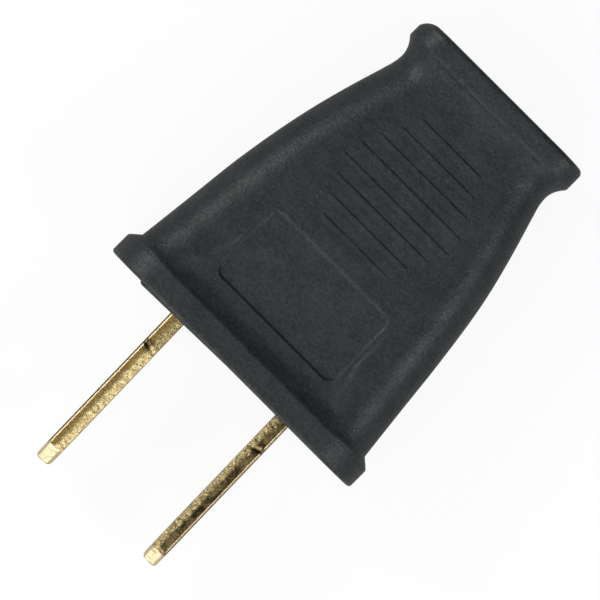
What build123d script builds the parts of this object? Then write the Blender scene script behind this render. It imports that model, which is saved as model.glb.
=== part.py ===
from build123d import *
import math
import os

# A flat two-blade plug of the kind that is wired without tools.
# A soft moulded cover with a flared front flange and a flared cord collar holds a moulded core.
# The core is a pair of arms, like tongs, joined by a springy bridge round the cord's hole.
# Each arm is moulded round one brass blade, whose foot ends in teeth that pierce the flat cord.
# For wiring, the core slides forward out of the cover, and its arms spring apart.
#
# Millimetres. X runs across the blades, Y from the front face back to the cord end, Z up.
# The plug lies on a broad face. The origin is the middle of the cover's front face.

# Blades, where they stand out of the core
blade_pitch = 12.7
blade_thickness = 1.5
blade_width = 6.35
blade_reach = 17.0
blade_tip_chamfer = 1.6
blade_edge_round = 0.2
blade_hole_diameter = 3.2
blade_hole_at = 11.9
nick_at = 3.5
nick_length = 0.4
nick_depth = 0.16

# Blades, inside the core
shank_depth = 1.8
tang_width = 4.4
tang_depth = 11.6
tang_hole_diameter = 2.0
foot_width = 3.0
foot_bend_radius = 0.9
tooth_length = 1.5
tooth_tip_gap = 2.2

# Core
core_width = 21.8
core_thickness = 8.2
core_corner = 0.9
core_plate_length = 2.0
core_step = 0.35
core_length = 22.5
core_rear_width = 12.6
core_rear_thickness = 7.2
core_edge_round = 0.3
slit_width = 0.4
bridge_length = 3.0
slit_relief_diameter = 1.7
channel_width = 6.8
channel_height = 3.5
cord_stop_depth = 8.0
arm_pocket_length = 5.0
arm_pocket_width = 2.2
arm_pocket_depth = 1.5

# How the core sits in the cover
core_skew = 1.3
mouth_clearance = 0.15
cavity_end_clearance = 0.6

# Cover, front flange
flange_width = 29.1
flange_thickness = 13.0
flange_corner = 5.6
flange_side_length = 2.0
flange_front_round = 0.3

# Cover, body
cover_length = 33.6
body_front_at = 2.9
front_width = 27.2
front_thickness = 11.4
middle_width = 24.8
middle_at = 13.5
waist_width = 22.3
waist_at = 20.7
hip_width = 20.1
hip_at = 24.9
neck_width = 17.5
neck_thickness = 9.8
neck_at = 29.7
body_corner = 4.0

# Cover, cord collar
collar_rise = 0.8
collar_length = 2.1
collar_corner = 3.6
collar_rear_round = 0.5
cove_angle = 62.0
cord_hole_width = 8.2
cord_hole_height = 4.6
cord_hole_flare = 0.9
cord_hole_flare_angle = 45.0

# Cover, broad faces
panel_width = 14.0
panel_length = 7.95
panel_at = 5.06
panel_corner = 0.9
panel_depth = 0.25
dish_width = 15.4
dish_rear_at = 14.0
dish_flare_rear_at = 7.8
dish_flare_front_at = 5.0
dish_flare_width = 18.0
dish_wall_slope = 50.0
rib_count = 8
rib_pitch = 1.68
rib_length = 0.82
rib_height = 0.28
ribs_front_at = 14.45
ribs_end_width = 7.1
ribs_middle_width = 12.9
ribs_widest_at = 20.8
ribs_widest_length = 1.2

# How finely rounded rims, the cove and the sides are cut into flats, and how near is touching
rim_flats = 2
cove_flats = 3
side_flats = 5
touching = 1e-4

# Worked out from the sizes above
collar_front_at = cover_length - collar_length
collar_width = neck_width + 2 * collar_rise
collar_thickness = neck_thickness + 2 * collar_rise
skew_shift = math.sin(math.radians(core_skew))
cavity_length = core_length + cavity_end_clearance
taper_slope = (front_thickness - neck_thickness) / 2 / (neck_at - body_front_at)
ribs_rear_at = ribs_front_at + (rib_count - 1) * rib_pitch + rib_length
blade_outer = (blade_pitch + blade_thickness) / 2
skewed = Rot(0, 0, core_skew)
turned_over = Rot(0, 180, 0)


def across(y, width, thickness, corner):
    # A rounded rectangle across the plug, y behind the front face.
    return Pos(0, y, 0) * (Plane.XZ * RectangleRounded(width, thickness, corner))


def prism(y_from, y_to, width, thickness, corner, narrowing=0.0):
    # A straight length of that section, or one that narrows by an angle towards the cord end.
    section = across(y_from, width, thickness, corner)
    return extrude(section, amount=y_to - y_from, dir=(0, 1, 0), taper=narrowing)


def eased_rim(end, inward, width, thickness, corner, radius):
    # Sections of an end's rounded rim, from the end inward, in even turns.
    sections = []
    for step in range(rim_flats + 1):
        turn = math.radians(90 * step / rim_flats)
        inset = radius * (1 - math.sin(turn))
        y = end + inward * radius * (1 - math.cos(turn))
        sections.append(across(y, width - 2 * inset, thickness - 2 * inset, corner - inset))
    return sections


def half_thickness(y):
    # The broad faces taper evenly from the flange to the neck.
    return front_thickness / 2 - (y - body_front_at) * taper_slope


# Cover
def body_section(y, width):
    return across(y, width, 2 * half_thickness(y), body_corner)


def flange():
    # The flange stands out all round the front, and its rear is bevelled down to the body.
    outline = (flange_width, flange_thickness, flange_corner)
    rim = loft(eased_rim(0, 1, *outline, flange_front_round), ruled=True)
    side = prism(flange_front_round, flange_side_length, *outline)
    bevel = loft([across(flange_side_length, *outline), body_section(body_front_at, front_width)], ruled=True)
    return rim + side + bevel


def side_stations():
    # The sides run straight to the middle, then follow a smooth line in to the neck.
    sweep = Spline(
        (middle_at, middle_width),
        (waist_at, waist_width),
        (hip_at, hip_width),
        (neck_at, neck_width),
    )
    places = [sweep @ (step / side_flats) for step in range(side_flats + 1)]
    return [(body_front_at, front_width)] + [(place.X, place.Y) for place in places]


def body():
    # Its broad faces taper evenly all the way.
    return loft([body_section(y, width) for y, width in side_stations()], ruled=True)


def collar():
    # A cove rises from the neck to the flat band that the cord leaves through.
    cove_radius = collar_rise / (1 - math.cos(math.radians(cove_angle)))
    cove_start = collar_front_at - cove_radius * math.sin(math.radians(cove_angle))
    sections = []
    for step in range(cove_flats + 1):
        share = step / cove_flats
        turn = math.radians(cove_angle * share)
        y = cove_start + cove_radius * math.sin(turn)
        growth = 2 * cove_radius * (1 - math.cos(turn))
        corner = body_corner + (collar_corner - body_corner) * share
        sections.append(across(y, neck_width + growth, neck_thickness + growth, corner))
    neck = prism(neck_at, cove_start, neck_width, neck_thickness, body_corner)
    outline = (collar_width, collar_thickness, collar_corner)
    band = prism(collar_front_at, cover_length - collar_rear_round, *outline)
    rim = loft(eased_rim(cover_length, -1, *outline, collar_rear_round), ruled=True)
    return neck + loft(sections, ruled=True) + band + rim


def dish():
    # The middle of a broad face runs level, so it sinks into the taper towards the flange.
    # Its sides flare out to pinched corners in front.
    floor = half_thickness(dish_rear_at)
    rear, front = dish_width / 2, dish_flare_width / 2
    outline = Polyline(
        (-rear, dish_rear_at),
        (-rear, dish_flare_rear_at),
        (-front, dish_flare_front_at),
        (-front, body_front_at),
        (front, body_front_at),
        (front, dish_flare_front_at),
        (rear, dish_flare_rear_at),
        (rear, dish_rear_at),
        close=True,
    )
    height = front_thickness / 2 - floor
    hollow = extrude(make_face(outline), amount=height, taper=-dish_wall_slope)
    return Pos(0, 0, floor) * hollow


def panel():
    # A shallow bare field, recessed into the level middle of the upper broad face.
    floor = half_thickness(dish_rear_at) - panel_depth
    outline = RectangleRounded(panel_width, panel_length, panel_corner)
    centre = panel_at + panel_length / 2
    return Pos(0, centre, floor) * extrude(outline, amount=panel_depth + front_thickness)


def rib_half_width(y):
    # The ribbed field is barrel shaped: narrow at both ends and widest behind its middle.
    widen_end = ribs_widest_at - ribs_widest_length / 2
    narrow_start = ribs_widest_at + ribs_widest_length / 2
    rising = (y - ribs_front_at) / (widen_end - ribs_front_at)
    falling = (ribs_rear_at - y) / (ribs_rear_at - narrow_start)
    share = min(rising, falling, 1)
    return (ribs_end_width + (ribs_middle_width - ribs_end_width) * share) / 2


def rib(front):
    # One bar, highest at its steep rear edge and sloping down to the front.
    rear = front + rib_length
    crest = (front + rear) / 2
    outline = Polyline(
        (-rib_half_width(front), front),
        (rib_half_width(front), front),
        (rib_half_width(rear), rear),
        (-rib_half_width(rear), rear),
        close=True,
    )
    side = Polyline(
        (front, half_thickness(front) - rib_height),
        (rear, half_thickness(rear) - rib_height),
        (rear, half_thickness(rear) + rib_height),
        (crest, half_thickness(crest) + rib_height),
        (front, half_thickness(front) + rib_height / 3),
        close=True,
    )
    bar = extrude(make_face(outline), amount=front_thickness)
    ramp = extrude(Plane.YZ * make_face(side), amount=ribs_middle_width, both=True)
    return bar & ramp


def cavity():
    # The mouth fits the core's plate, and behind it there is room for the core's skew.
    mouth_width = core_width + 2 * mouth_clearance
    mouth_thickness = core_thickness + 2 * mouth_clearance
    mouth_length = core_plate_length + mouth_clearance + core_width / 2 * skew_shift
    mouth = prism(0, mouth_length, mouth_width, mouth_thickness, core_corner)
    rear_width = core_rear_width + 2 * (mouth_clearance + cavity_length * skew_shift)
    rear_thickness = core_rear_thickness + 2 * mouth_clearance
    room = loft([
        across(mouth_length, mouth_width, mouth_thickness, core_corner),
        across(cavity_length, rear_width, rear_thickness, core_corner),
    ], ruled=True)
    return mouth + room


def cord_hole():
    # A flat cord's hole through the neck, flared where the cord leaves it.
    flat = 0.01
    corner = cord_hole_height / 2 - flat
    outline = (cord_hole_width, cord_hole_height, corner)
    hole = prism(core_length, cover_length, *outline)
    return hole + prism(cover_length - cord_hole_flare, cover_length, *outline, -cord_hole_flare_angle)


def cover():
    shell = body() - dish() - turned_over * dish()
    shell += flange() + collar()
    shell -= panel()
    for index in range(rib_count):
        bar = rib(ribs_front_at + index * rib_pitch)
        shell += bar
        shell += turned_over * bar
    return shell - cavity() - cord_hole()


# Blades
def blade_strip():
    # The flat strip, seen from the side: cut tip corners, a wide shank and a narrower tang.
    tip, half, tang = -blade_reach, blade_width / 2, tang_width / 2
    outline = Polyline(
        (tip, half - blade_tip_chamfer),
        (tip, -half + blade_tip_chamfer),
        (tip + blade_tip_chamfer, -half),
        (shank_depth, -half),
        (shank_depth, -tang),
        (tang_depth, -tang),
        (tang_depth, tang),
        (shank_depth, tang),
        (shank_depth, half),
        (tip + blade_tip_chamfer, half),
        close=True,
    )
    return extrude(Plane.YZ * make_face(outline), amount=blade_thickness / 2, both=True)


def blade_rounding(strip):
    # Stamping rounds the outer face's rim, and coining rounds both faces round the tip.
    half = blade_thickness / 2
    edges = []
    for edge in strip.edges():
        middle = edge.center()
        outer_rim = middle.X > half - touching and middle.Y < 0
        inner_tip = middle.X < -half + touching and middle.Y < -blade_reach + blade_tip_chamfer
        if outer_rim or inner_tip:
            edges.append(edge)
    return fillet(edges, blade_edge_round)


def blade_nick():
    # The mark across the upper narrow edge where the blade was cut from its strip.
    top = blade_width / 2
    groove = Polyline(
        (-nick_at - nick_length / 2, top),
        (-nick_at, top - nick_depth),
        (-nick_at + nick_length / 2, top),
        close=True,
    )
    return extrude(Plane.YZ * make_face(groove), amount=blade_thickness, both=True)


def blade_foot():
    # The foot is bent square towards the cord, and its end is cut to two teeth.
    half, root = foot_width / 2, tooth_tip_gap / 2 + tooth_length
    tip = tooth_tip_gap / 2
    outline = Polyline(
        (blade_outer, -half),
        (blade_outer, half),
        (root, half),
        (tip, half / 2),
        (root, 0),
        (tip, -half / 2),
        (root, -half),
        close=True,
    )
    face = Pos(0, tang_depth, 0) * (Plane.XZ * make_face(outline))
    return extrude(face, amount=blade_thickness, dir=(0, -1, 0))


def hole_across(y, diameter):
    return Pos(blade_pitch / 2, y, 0) * Rot(0, 90, 0) * Cylinder(diameter / 2, 2 * blade_thickness)


def blade():
    # The blade on the +X side, before the core's skew.
    strip = Pos(blade_pitch / 2) * (blade_rounding(blade_strip()) - blade_nick())
    metal = strip + blade_foot()
    outer_bend = [
        edge for edge in metal.edges()
        if abs(edge.center().X - blade_outer) < touching and abs(edge.center().Y - tang_depth) < touching
    ]
    metal = fillet(outer_bend, foot_bend_radius)
    metal -= hole_across(-blade_hole_at, blade_hole_diameter)
    return metal - hole_across(shank_depth + tang_width / 2, tang_hole_diameter)


# Core
def core_block():
    outline = (core_width, core_thickness, core_corner)
    rim = loft(eased_rim(0, 1, *outline, core_edge_round), ruled=True)
    plate = rim + prism(core_edge_round, core_plate_length, *outline)
    arms = loft([
        across(core_plate_length, core_width - 2 * core_step, core_thickness - 2 * core_step, core_corner),
        across(core_length, core_rear_width, core_rear_thickness, core_corner),
    ], ruled=True)
    return plate + arms


def arm_pockets():
    # Hollows in the arms' broad sides, between the foot and the bridge, keep the walls even.
    front = tang_depth + blade_thickness
    centre_x = channel_width / 2 + arm_pocket_width / 2 + core_step
    pocket = Box(arm_pocket_width, arm_pocket_length, 2 * arm_pocket_depth)
    pockets = []
    for side_x in (-centre_x, centre_x):
        for side_z in (-core_rear_thickness / 2, core_rear_thickness / 2):
            pockets.append(Pos(side_x, front + arm_pocket_length / 2, side_z) * pocket)
    return pockets


def core(blades):
    # Two arms parted by a slit, with a round relief where the springy bridge begins.
    slit_end = core_length - bridge_length
    block = core_block()
    slit_middle = Pos(0, slit_end / 2, 0)
    block -= slit_middle * Box(slit_width, slit_end, 2 * core_thickness)
    block -= Pos(0, slit_end, 0) * Cylinder(slit_relief_diameter / 2, 2 * core_thickness)
    channel_corner = channel_height / 4
    block -= prism(cord_stop_depth, core_length, channel_width, channel_height, channel_corner)
    for pocket in arm_pockets():
        block -= pocket
    for metal in blades:
        block -= metal
    return block


def main():
    os.makedirs("parts", exist_ok=True)
    right = blade()
    left = mirror(right, about=Plane.YZ)
    export_step(cover(), "parts/cover.step")
    export_step(skewed * core([left, right]), "parts/core.step")
    export_step(skewed * left, "parts/blade_left.step")
    export_step(skewed * right, "parts/blade_right.step")


main()
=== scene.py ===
# %% [markdown]
# # A two-prong plug, dressed around its CAD frame
# The plug is four pieces: a soft charcoal vinyl cover, a hard core inside it, and two brass blades.
# The CAD model holds every real size and stays where it is. This lesson gives it the looks of the
# real thing: a moulded skin with soft shoulders, eight grip bars, blades with sheared edges, and
# finishes that show grain, dust and wear.

import math

import bmesh
import bpy
import mathutils
import numpy as np
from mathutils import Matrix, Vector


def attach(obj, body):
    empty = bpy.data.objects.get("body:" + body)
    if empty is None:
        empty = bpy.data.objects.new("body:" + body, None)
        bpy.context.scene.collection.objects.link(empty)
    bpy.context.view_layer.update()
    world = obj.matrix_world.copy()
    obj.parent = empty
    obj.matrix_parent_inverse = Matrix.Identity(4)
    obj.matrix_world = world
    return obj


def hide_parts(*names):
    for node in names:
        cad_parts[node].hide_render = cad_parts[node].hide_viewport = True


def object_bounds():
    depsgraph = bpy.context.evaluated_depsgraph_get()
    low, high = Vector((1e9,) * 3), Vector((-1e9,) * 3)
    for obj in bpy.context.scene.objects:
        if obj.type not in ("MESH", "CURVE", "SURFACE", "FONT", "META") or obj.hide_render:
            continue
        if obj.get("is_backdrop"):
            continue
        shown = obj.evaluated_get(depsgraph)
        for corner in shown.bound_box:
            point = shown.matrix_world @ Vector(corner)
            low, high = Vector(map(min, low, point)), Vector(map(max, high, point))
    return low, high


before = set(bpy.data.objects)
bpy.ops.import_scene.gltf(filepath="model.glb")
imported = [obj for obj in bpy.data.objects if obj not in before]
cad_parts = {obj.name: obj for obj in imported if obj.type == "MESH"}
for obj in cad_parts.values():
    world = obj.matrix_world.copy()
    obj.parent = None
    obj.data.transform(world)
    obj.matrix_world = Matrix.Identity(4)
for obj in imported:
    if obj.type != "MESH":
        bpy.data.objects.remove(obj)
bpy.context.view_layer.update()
scene = bpy.context.scene
print("frame nodes:", sorted(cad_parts))

# %% [markdown]
# ## Sizes
# Blender works in metres, but a plug is easier to think about in millimetres. Every size below is in
# millimetres, and one factor turns a finished mesh into metres. The sizes are the CAD's, apart from
# corners, the dish's flare and the low bars, which follow the photograph. X runs across the blades,
# Y from the front face back to the cord end, and Z up.

# %% Sizes of the cover, in millimetres
MM = 0.001
COVER_LENGTH = 33.6
FLANGE_HALF_WIDTH = 14.55
FLANGE_HALF_THICKNESS = 6.5
FLANGE_CORNER = 5.3
FLANGE_SIDE_LENGTH = 2.0
FLANGE_LENGTH = 2.9
FLANGE_BEVEL_SLOPE = 1.17
FLANGE_FRONT_ROUND = 0.3
BODY_HALF_THICKNESS = 5.7
BODY_CORNER = 3.8
BODY_HALF_WIDTHS = [
    (2.9, 13.6), (8.2, 13.0), (13.5, 12.4), (20.7, 11.15), (24.9, 10.05),
    (28.0, 9.12), (29.0, 8.84), (29.7, 8.75), (30.2, 8.75),
]
NECK_AT = 29.7
NECK_HALF_THICKNESS = 4.9
COLLAR_RISE = 0.8
COLLAR_GROOVE = 0.035
COLLAR_FACE_RISE = 0.32
COLLAR_FACE_SLOPE = 0.09
COLLAR_FACE_FROM = 28.8
COLLAR_FRONT_AT = 31.6
COLLAR_CORNER = 3.2
COLLAR_REAR_ROUND = 0.5

# %% Sizes of the cavity that holds the core
MOUTH_HALF = (11.05, 4.25)
MOUTH_LENGTH = 2.4
MOUTH_LIP = 0.1
MOUTH_LIP_Y = (0.16, 0.35)
CAVITY_REAR_HALF = (6.97, 3.75)
CAVITY_LENGTH = 23.1
CORE_CORNER = 0.9
CORD_HOLE_HALF = (4.1, 2.3)
CORD_HOLE_CORNER = 2.2
CORD_HOLE_FLARE = 0.9

# %% Sizes of the panel and the dish round it
PANEL_HALF_WIDTH = 7.0
PANEL_Y = (5.06, 13.01)
PANEL_CORNER = 0.9
PANEL_FRONT_DEPTH = 0.34
PANEL_REAR_DEPTH = 0.07
DISH_HALF_WIDTH = 7.7
DISH_REAR_AT = 14.0
DISH_FLARE_REAR_AT = 7.8
DISH_FLARE_FRONT_AT = 5.0
DISH_FLARE_HALF_WIDTH = 9.3

# %% Sizes of the bars, and of the sunk gaps between them
BAR_SINK = 0.035
BAR_ROOT = 0.3
BAR_END_SLOPE = 0.07
GAP_DEPTH = 0.04
BARS = {
    "Bar Count": 8,
    "Bar Pitch": 1.68,
    "First Bar At": 14.42,
    "Bar Length": 0.88,
    "Bar Height": 0.066,
    "End Half Width": 3.6,
    "Middle Half Width": 6.42,
    "Widest From": 20.1,
    "Widest To": 21.4,
    "Last Bar Ends At": 27.1,
    "Face Height": BODY_HALF_THICKNESS - BAR_SINK,
    "Face From": FLANGE_LENGTH,
    "Face Slope": (BODY_HALF_THICKNESS - NECK_HALF_THICKNESS) / (NECK_AT - FLANGE_LENGTH),
}

# %% [markdown]
# ## Small tools for shaping
# Three helpers shape nearly everything on the cover. One eases from 0 to 1, one takes the lower of two
# sizes with a soft fillet between them, and one runs a smooth curve through a few measured sizes.


# %% Helpers for smooth shapes
def ease(share):
    share = np.clip(share, 0, 1)
    return share * share * (3 - 2 * share)


def soft_lower(a, b, reach):
    share = np.clip(0.5 + 0.5 * (b - a) / reach, 0, 1)
    return b + (a - b) * share - reach * share * (1 - share)


def smooth_through(stations, y):
    places, sizes = np.array(stations, float).T
    slopes = np.gradient(sizes, places)
    at = np.clip(np.searchsorted(places, y, side="right") - 1, 0, len(places) - 2)
    span = places[at + 1] - places[at]
    t = np.clip((y - places[at]) / span, 0, 1)
    start = (1 + 2 * t) * (1 - t) ** 2 * sizes[at] + t * (1 - t) ** 2 * span * slopes[at]
    end = t * t * (3 - 2 * t) * sizes[at + 1] + t * t * (t - 1) * span * slopes[at + 1]
    return start + end


print("half width at the waist, mm:", round(float(smooth_through(BODY_HALF_WIDTHS, 20.7)), 2))

# %% [markdown]
# ## The cover's outline
# Seen from above, the real cover has a flange in front, sides that run straight and then sweep in to a
# neck, and a flared collar for the cord. The sections are rounded rectangles all the way, so three
# sizes at each place describe it: half its width, half its thickness and its corner radius. The two
# narrow sides and the two broad faces leave the flange differently: a bevel at the sides, and a long
# hollow on the faces.


# %% Half width and half thickness along the plug
def collar_rise(y):
    flare_from = NECK_AT + 0.1
    lift = np.clip((y - flare_from) / (COLLAR_FRONT_AT - flare_from), 0, 1.4) ** 2.2
    return soft_lower(COLLAR_RISE * lift, COLLAR_RISE, 0.12)


def face_rise(y):
    lift = np.clip((y - COLLAR_FACE_FROM) / (COLLAR_FRONT_AT - COLLAR_FACE_FROM), 0, 1) ** 1.5
    groove = COLLAR_GROOVE * np.exp(-((y - COLLAR_FRONT_AT + 0.1) / 0.16) ** 2)
    return COLLAR_FACE_RISE * lift - groove + COLLAR_FACE_SLOPE * np.clip(y - COLLAR_FRONT_AT, 0, None)


def cover_half_width(y):
    bevel = FLANGE_HALF_WIDTH + 0.08 - FLANGE_BEVEL_SLOPE * (y - FLANGE_SIDE_LENGTH)
    flange = soft_lower(bevel, FLANGE_HALF_WIDTH, 0.18)
    body = smooth_through(BODY_HALF_WIDTHS, y) + collar_rise(y)
    return np.maximum(flange, body)


def face_taper(y):
    return BODY_HALF_THICKNESS - BARS["Face Slope"] * (soft_lower(y, NECK_AT, 1.0) - FLANGE_LENGTH)


def cover_half_thickness(y):
    rise = FLANGE_HALF_THICKNESS - BODY_HALF_THICKNESS
    behind = y - FLANGE_SIDE_LENGTH - 0.35
    hollow = face_taper(y) + rise * (0.45 * np.exp(-behind / 0.4) + 0.55 * np.exp(-behind / 1.7))
    face = soft_lower(hollow, FLANGE_HALF_THICKNESS, 0.16)
    return face + face_rise(y)


def cover_corner(y):
    front = FLANGE_CORNER + (BODY_CORNER - FLANGE_CORNER) * ease((y - FLANGE_SIDE_LENGTH) / 0.8)
    tighter_from = NECK_AT - 1.5
    share = ease((y - tighter_from) / (COLLAR_FRONT_AT - tighter_from))
    return front + (COLLAR_CORNER - BODY_CORNER) * share


# %% [markdown]
# ## Columns and rows
# The skin is one mesh, laid out as rings of points that run from the front rim over the outside, round
# the rear face, in through the cord hole and back through the cavity to the front. The points are
# closest together where the shape turns sharply, at the panel's rim and the flange's shoulder, so
# these stay crisp without a heavy mesh.


# %% Where the columns and rows lie
def even_runs(stops, counts):
    runs = zip(stops, stops[1:], counts)
    return np.concatenate([np.linspace(low, high, count, endpoint=False) for low, high, count in runs])


KNEE = 8.6
LAST_COLUMN = 12.9
half_columns = np.append(
    even_runs([0, 5.9, 7.35, KNEE], [26, 20, 8]), np.linspace(KNEE, LAST_COLUMN, 20))
columns = np.concatenate([-half_columns[:0:-1], half_columns])
corner_turns = np.radians(45 * (1 - np.arange(1, 8) / 7))
side_shares = np.array([0.6, 0.25, 0.12, 0.05])
side_points = 2 * (len(corner_turns) + len(side_shares)) + 1
rim_turns = np.radians([0, 18, 36, 54, 72])
bar_starts = BARS["First Bar At"] + BARS["Bar Pitch"] * np.arange(BARS["Bar Count"])
bar_rows = bar_starts[:, None] + np.array([0.0, 0.44, 0.84, 0.9, 1.1, 1.3, 1.5])
outer_rows = np.concatenate([
    even_runs([0.3, 2.0, 3.4, 4.7, 6.1, 12.1, 13.4, BARS["First Bar At"]], [7, 20, 8, 18, 24, 17, 4]),
    bar_rows.ravel(),
    even_runs([27.9, 29.2, 32.0], [5, 24]),
    np.linspace(32.0, COVER_LENGTH - COLLAR_REAR_ROUND, 5),
])
print("columns on a broad face:", len(columns), "and rows along the outside:", len(outer_rows))


# %% [markdown]
# ## The broad faces
# The middle of each broad face is a level dish. It sinks into the tapering body towards the flange, so
# its rim shows as a faint crease that flares out in front. On the upper face a bare panel is sunk a
# little deeper, most at its front edge. The gaps between the grip bars are sunk too. All are written
# as depths under the face, because a depth can be eased from one level to the next, which gives the
# soft lips of moulded vinyl.


# %% Depths of the dish, the panel and the gaps
def dish_half_width(y):
    flare = np.clip((DISH_FLARE_REAR_AT - y) / (DISH_FLARE_REAR_AT - DISH_FLARE_FRONT_AT), 0, 1.4)
    return DISH_HALF_WIDTH + (DISH_FLARE_HALF_WIDTH - DISH_HALF_WIDTH) * flare


def dish_depth(x, y):
    sink = np.clip(face_taper(y) - face_taper(DISH_REAR_AT), 0, None)
    wall = 0.45 + 1.5 * ease((DISH_FLARE_REAR_AT - y) / 3)
    inside = ease((dish_half_width(y) - np.abs(x)) / wall)
    return sink * inside * ease((y - 2.4) / 1.6)


def panel_depth(x, y):
    middle = (PANEL_Y[0] + PANEL_Y[1]) / 2
    reach_x = np.abs(x) - (PANEL_HALF_WIDTH - PANEL_CORNER)
    reach_y = np.abs(y - middle) - ((PANEL_Y[1] - PANEL_Y[0]) / 2 - PANEL_CORNER)
    outside = np.hypot(np.maximum(reach_x, 0), np.maximum(reach_y, 0)) - PANEL_CORNER
    share = np.clip((y - PANEL_Y[0]) / (PANEL_Y[1] - PANEL_Y[0]), 0, 1)
    lip = 0.2 + 0.35 * ease((share - 0.85) / 0.15)
    depth = PANEL_FRONT_DEPTH + (PANEL_REAR_DEPTH - PANEL_FRONT_DEPTH) * share
    return depth * ease(-outside / lip)


def bar_half_width(y):
    low, high = BARS["End Half Width"], BARS["Middle Half Width"]
    ends = [BARS["First Bar At"], BARS["Widest From"], BARS["Widest To"], BARS["Last Bar Ends At"]]
    return np.interp(y, ends, [low, high, high, low])


def gap_depth(x, y):
    behind_start = np.mod(y - BARS["First Bar At"], BARS["Bar Pitch"])
    under_bar = behind_start / BARS["Bar Length"]
    in_gap = (BARS["Bar Pitch"] - behind_start) / (BARS["Bar Pitch"] - BARS["Bar Length"])
    in_field = (y > BARS["First Bar At"]) & (y < bar_starts[-1] + BARS["Bar Pitch"])
    inside = ease((bar_half_width(y) - np.abs(x)) / 0.3)
    return GAP_DEPTH * np.minimum(under_bar, in_gap) * inside * in_field


# %% [markdown]
# ## One ring of the skin
# A ring starts at the upper left, runs across the upper face, down the right side, back across the
# lower face and up the left side. Every ring has the same number of points in the same order, so any
# two neighbours can be joined by a strip of four-sided faces.


# %% Make one ring
CORNER_CUT = 1 - math.cos(math.radians(45))


def side_of_ring(half_thickness, corner):
    straight = half_thickness - corner
    heights = straight + corner * np.sin(corner_turns)
    bulges = corner * np.cos(corner_turns) - corner
    heights = np.concatenate([heights, straight * side_shares])
    bulges = np.concatenate([bulges, 0 * side_shares])
    return np.concatenate([heights, [0], -heights[::-1]]), np.concatenate([bulges, [0], bulges[::-1]])


def ring(y, half_width, half_thickness, corner, knee):
    limit = half_width - corner * CORNER_CUT
    inner = columns * knee / KNEE
    past_knee = (np.abs(columns) - KNEE) / (LAST_COLUMN - KNEE)
    outer = np.sign(columns) * (knee + past_knee * (limit - knee))
    x = np.where(np.abs(columns) <= KNEE, inner, outer)
    past = np.clip(np.abs(x) - (half_width - corner), 0, corner)
    z = half_thickness - corner + np.sqrt(corner * corner - past * past)
    side_z, bulge = side_of_ring(half_thickness, corner)
    xs = np.concatenate([x, half_width + bulge, x[::-1], -(half_width + bulge)])
    zs = np.concatenate([z, side_z, -z, side_z[::-1]])
    return np.stack([xs, np.full_like(xs, y), zs], axis=1)


def outer_ring(y, inset=0.0):
    half_width, half_thickness, corner = (
        size(y) - inset for size in (cover_half_width, cover_half_thickness, cover_corner))
    limit = half_width - corner * CORNER_CUT
    knee = KNEE + (KNEE * limit / LAST_COLUMN - KNEE) * ease((y - 14) / 6)
    return ring(y, half_width, half_thickness, corner, knee)


def inner_ring(y, half, corner):
    limit = half[0] - corner * CORNER_CUT
    return ring(y, half[0], half[1], corner, KNEE * limit / LAST_COLUMN)


def between(first, last, count):
    return [first + (last - first) * step / (count + 1) for step in range(1, count + 1)]


upper = slice(0, len(columns))
lower = slice(len(columns) + side_points, 2 * len(columns) + side_points)
print("points in a ring:", len(outer_ring(10)))

# %% [markdown]
# ## Mould marks
# Soft vinyl never comes out of a mould perfectly true. The real cover drifts a little to its right
# towards the cord, its collar has lost the corner on the left, its front face is drawn in slightly
# between the blades, and its broad faces are faintly uneven. A fine ridge on each narrow side shows
# where the two halves of the mould met.


# %% Shape the outside of the cover, with sizes in millimetres
UNEVEN_BY = 0.035
SEAM_HEIGHT = 0.05
SHIFT_TO_RIGHT = 0.07
LOST_CORNER = 0.6
DRAWN_IN = 0.03


def unevenness(x, y):
    waves = np.random.default_rng(7)
    total = np.zeros_like(x)
    for length in (9.0, 6.0, 4.0, 2.8, 2.0):
        turn, shift = waves.uniform(0, 2 * math.pi, 2)
        across = (x * math.cos(turn) + y * math.sin(turn)) * 2 * math.pi / length
        total += np.sin(across + shift) * np.cos(across * 0.37 + shift * 2) * length / 24
    return total


def shape_outside(points):
    x, y, z = points.T.copy()
    sunk = dish_depth(x, y) + gap_depth(x, y)
    uneven = UNEVEN_BY * unevenness(x, y + 40 * (z < 0)) * ease((y - 2.2) / 1.5)
    points[upper, 2] += (uneven - sunk - panel_depth(x, y))[upper]
    points[lower, 2] += (uneven + sunk)[lower]
    ridge = np.clip(1 - np.abs(z) / 0.1, 0, 1) * ease((y - 3.1) / 0.6) * ease((33.3 - y) / 0.4)
    points[:, 0] += SEAM_HEIGHT * np.sign(x) * ridge + SHIFT_TO_RIGHT * ease((y - 12) / 9)
    lost = np.clip((-x - 8.1) / 1.4, 0, 1) ** 2 * ease((y - 32.2) / 1.4)
    drawn_in = np.clip(1 - (x / FLANGE_HALF_WIDTH) ** 2, 0, 1) * np.clip(1 - y / 2.4, 0, 1)
    points[:, 1] += DRAWN_IN * drawn_in - LOST_CORNER * lost
    return points


# %% [markdown]
# ## Build the cover's skin
# The rings are made in the order a finger would trace them, and the last joins the first again, which
# closes the mesh: it is a tube with thick walls. The skin replaces the CAD node, because the CAD keeps
# plain surfaces where this one needs the soft lips and the mould's marks.

# %% Rings of the outside
rings = []
for turn in rim_turns:
    inset = FLANGE_FRONT_ROUND * (1 - math.sin(turn))
    rings.append(outer_ring(FLANGE_FRONT_ROUND * (1 - math.cos(turn)), inset))
rings += [outer_ring(y) for y in outer_rows]
for turn in rim_turns[::-1]:
    inset = COLLAR_REAR_ROUND * (1 - math.sin(turn))
    rings.append(outer_ring(COVER_LENGTH - COLLAR_REAR_ROUND * (1 - math.cos(turn)), inset))
rings = [shape_outside(points) for points in rings]
front_rim, rear_rim = rings[0], rings[-1]
print("rings outside:", len(rings))

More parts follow.
